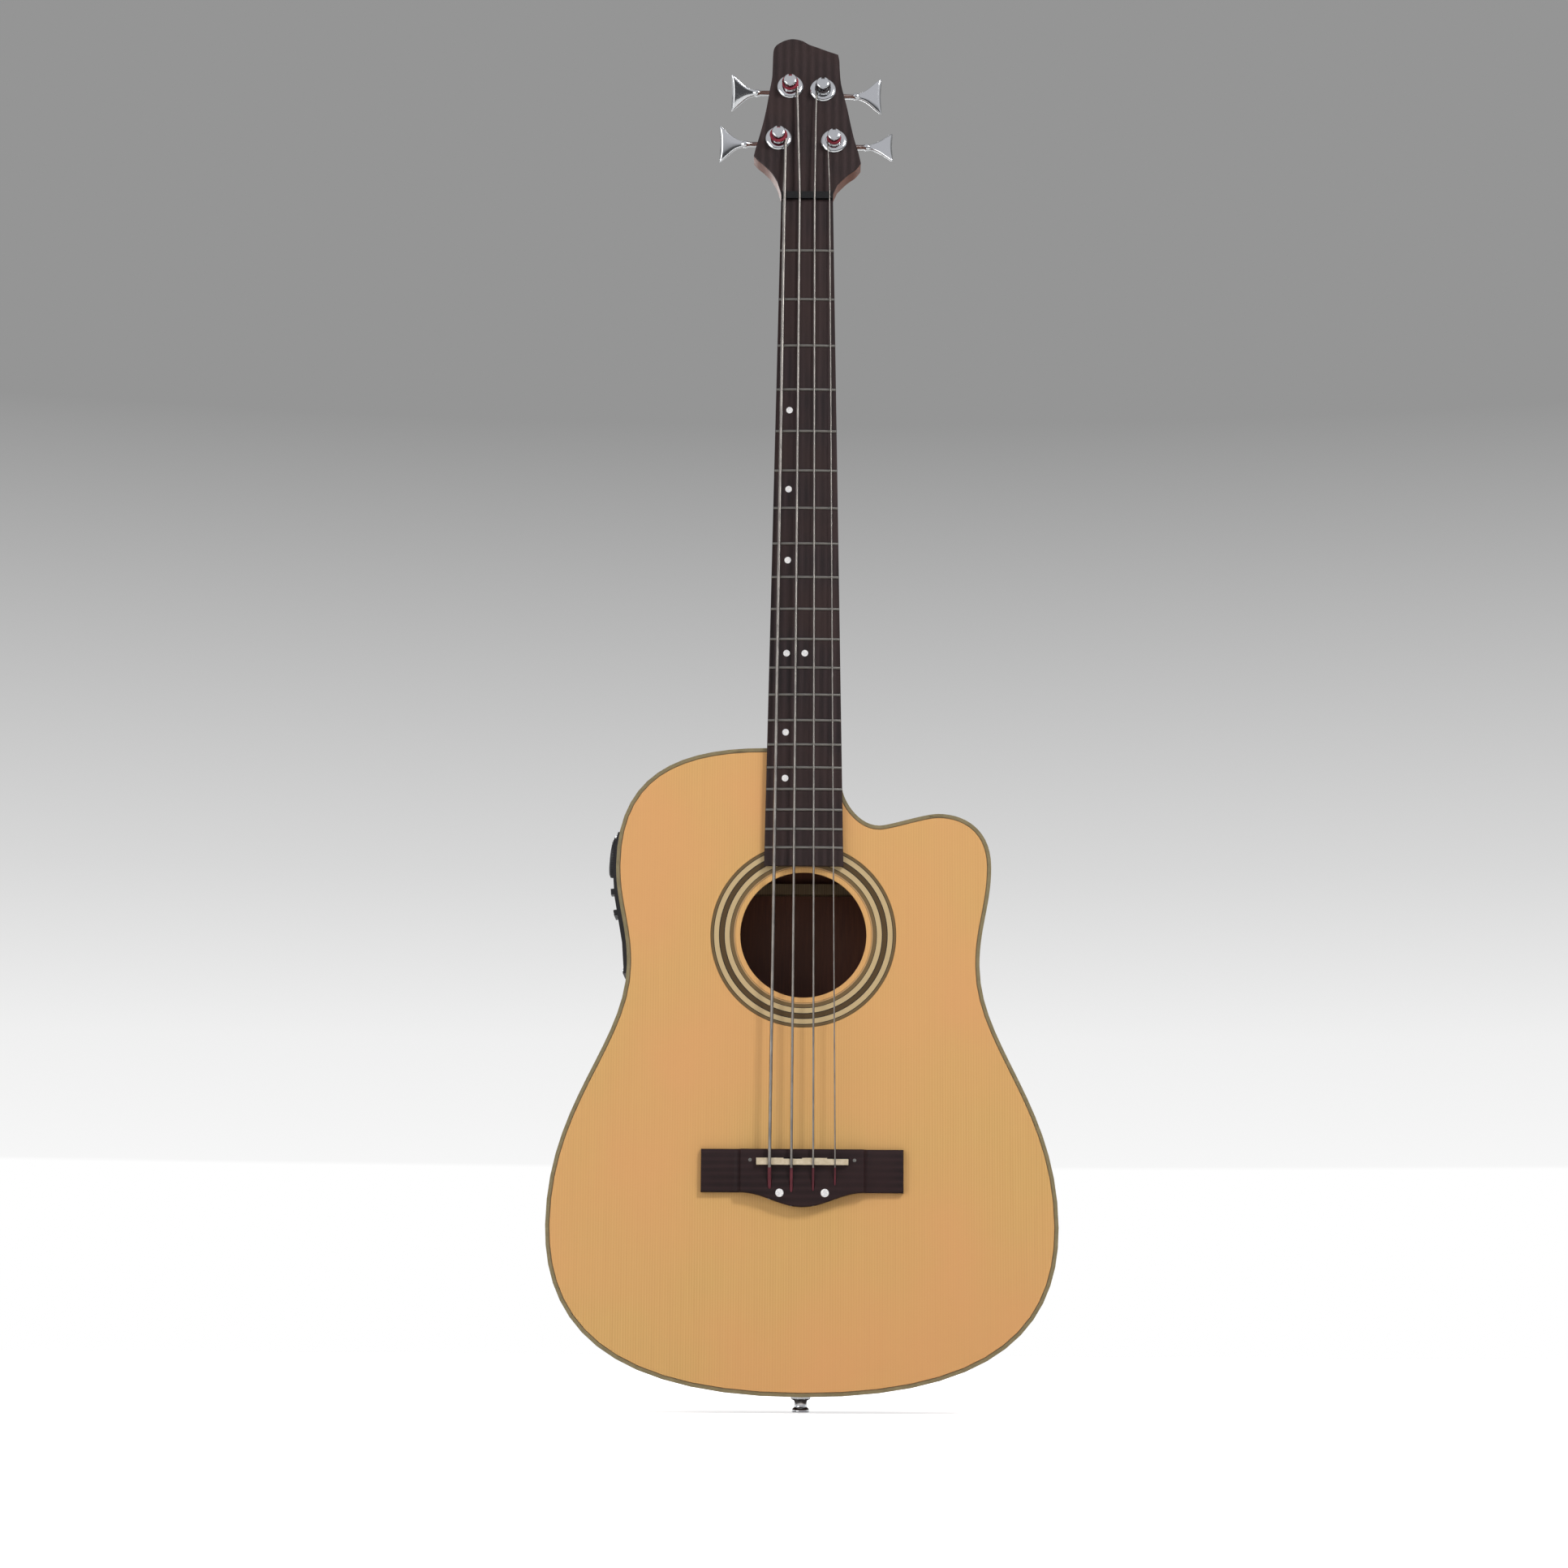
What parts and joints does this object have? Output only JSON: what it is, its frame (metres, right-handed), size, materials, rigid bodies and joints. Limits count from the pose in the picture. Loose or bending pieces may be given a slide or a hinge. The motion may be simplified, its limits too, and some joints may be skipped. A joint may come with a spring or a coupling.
{
  "type": "acoustic bass guitar",
  "caption": "Acoustic bass guitar with a cutaway body, soundhole, fretted neck, wound strings, geared tuners, and a side preamp with sliders, knob, button and battery door.",
  "frame": {"origin": "centreline of the rim at the tail, halfway through the body's depth there, where a stand carries the instrument", "axes": "+Z along the neck, -Y out of the soundboard, +X to the treble side and the cutaway"},
  "size_m": [0.413, 0.1362, 1.1669],
  "materials": {
    "spruce": "satin lacquer over honey spruce",
    "mahogany": "satin lacquer over red-brown mahogany",
    "maple": "raw pale wood",
    "rosewood": "oiled dark rosewood",
    "inlay": "olive and cream lines",
    "bone": "cream bone",
    "black_plastic": "satin black",
    "chrome": "polished",
    "steel": "bright steel",
    "string_wire": "bronze wound",
    "brass": "plain",
    "battery_can": "painted"
  },
  "bodies": {
    "root": {"back": "mahogany", "back_binding": "inlay", "back_brace_1": "spruce", "back_brace_2": "spruce", "back_brace_3": "spruce", "back_lining": "maple", "battery": "battery_can", "bridge": "rosewood", "bridge_bolt_left": "steel", "bridge_bolt_right": "steel", "bridge_plate": "maple", "endpin_jack": "chrome", "fretboard": "rosewood", "headstock_veneer": "rosewood", "neck": "mahogany", "neck_block": "maple", "nut": "black_plastic", "preamp_housing": "black_plastic", "preamp_panel": "black_plastic", "rosette": "inlay", "saddle": "bone", "saddle_pickup": "steel", "sides": "mahogany", "soundboard": "spruce", "string_a": "string_wire", "string_d": "string_wire", "string_e": "string_wire", "string_g": "string_wire", "tail_block": "maple", "tone_bar": "spruce", "top_binding": "inlay", "top_lining": "maple", "truss_rod": "steel", "tuner_ferrule_a": "chrome", "tuner_ferrule_d": "chrome", "tuner_ferrule_e": "chrome", "tuner_ferrule_g": "chrome", "tuner_housing_a": "chrome", "tuner_housing_d": "chrome", "tuner_housing_e": "chrome", "tuner_housing_g": "chrome", "upper_brace": "spruce", "x_brace": "spruce"},
    "key_e": {"tuner_key_e": "chrome"},
    "post_e": {"tuner_post_e": "chrome"},
    "key_a": {"tuner_key_a": "chrome"},
    "post_a": {"tuner_post_a": "chrome"},
    "key_d": {"tuner_key_d": "chrome"},
    "post_d": {"tuner_post_d": "chrome"},
    "key_g": {"tuner_key_g": "chrome"},
    "post_g": {"tuner_post_g": "chrome"},
    "volume": {"volume_knob": "black_plastic"},
    "button": {"preamp_button": "black_plastic"},
    "slider_1": {"eq_slider_1": "black_plastic"},
    "slider_2": {"eq_slider_2": "black_plastic"},
    "slider_3": {"eq_slider_3": "black_plastic"},
    "slider_4": {"eq_slider_4": "black_plastic"},
    "battery_cover": {"battery_door": "black_plastic"},
    "truss_adjuster": {"truss_nut": "brass"}
  },
  "joints": [
    {"name": "key_e_turn", "type": "hinge", "parent": "root", "child": "key_e", "pos_m": [-0.02459, -0.0334, 1.06074], "axis": [-1, 0, 0], "continuous": true},
    {"name": "post_e_turn", "type": "hinge", "parent": "root", "child": "post_e", "pos_m": [-0.02459, -0.03617, 1.05537], "axis": [0, -0.9903, 0.1392], "continuous": true},
    {"name": "key_a_turn", "type": "hinge", "parent": "root", "child": "key_a", "pos_m": [-0.01489, -0.02643, 1.11035], "axis": [-1, 0, 0], "continuous": true},
    {"name": "post_a_turn", "type": "hinge", "parent": "root", "child": "post_a", "pos_m": [-0.01489, -0.0292, 1.10499], "axis": [0, -0.9903, 0.1392], "continuous": true},
    {"name": "key_d_turn", "type": "hinge", "parent": "root", "child": "key_d", "pos_m": [0.01319, -0.02684, 1.10738], "axis": [1, 0, 0], "continuous": true},
    {"name": "post_d_turn", "type": "hinge", "parent": "root", "child": "post_d", "pos_m": [0.01319, -0.02962, 1.10201], "axis": [0, -0.9903, 0.1392], "continuous": true},
    {"name": "key_g_turn", "type": "hinge", "parent": "root", "child": "key_g", "pos_m": [0.02272, -0.03373, 1.05836], "axis": [1, 0, 0], "continuous": true},
    {"name": "post_g_turn", "type": "hinge", "parent": "root", "child": "post_g", "pos_m": [0.02272, -0.03651, 1.053], "axis": [0, -0.9903, 0.1392], "continuous": true},
    {"name": "volume_turn", "type": "hinge", "parent": "root", "child": "volume", "pos_m": [-0.1528, -0.00839, 0.44087], "axis": [-0.9958, 0, 0.0919], "range_deg": [-140, 140]},
    {"name": "button_press", "type": "slide", "parent": "root", "child": "button", "axis": [0.9974, 0, 0.0723], "range_m": [0, 0.0015], "stiffness_N_per_m": 150},
    {"name": "slider_1_move", "type": "slide", "parent": "root", "child": "slider_1", "axis": [-0.1761, 0, 0.9844], "range_m": [-0.006, 0.006]},
    {"name": "slider_2_move", "type": "slide", "parent": "root", "child": "slider_2", "axis": [-0.1761, 0, 0.9844], "range_m": [-0.006, 0.006]},
    {"name": "slider_3_move", "type": "slide", "parent": "root", "child": "slider_3", "axis": [-0.1761, 0, 0.9844], "range_m": [-0.006, 0.006]},
    {"name": "slider_4_move", "type": "slide", "parent": "root", "child": "slider_4", "axis": [-0.1761, 0, 0.9844], "range_m": [-0.006, 0.006]},
    {"name": "battery_door_swing", "type": "hinge", "parent": "root", "child": "battery_cover", "pos_m": [-0.14818, -0.00839, 0.3474], "axis": [0, -1, 0], "range_deg": [0, 75]},
    {"name": "truss_nut_turn", "type": "hinge", "parent": "root", "child": "truss_adjuster", "pos_m": [0, -0.0505, 0.457], "axis": [0, 0, 1], "range_deg": [-180, 180]}
  ],
  "couplings": [
    {"joint": "post_e_turn", "follows": "key_e_turn", "ratio": -0.083333},
    {"joint": "post_a_turn", "follows": "key_a_turn", "ratio": -0.083333},
    {"joint": "post_d_turn", "follows": "key_d_turn", "ratio": 0.083333},
    {"joint": "post_g_turn", "follows": "key_g_turn", "ratio": 0.083333}
  ]
}
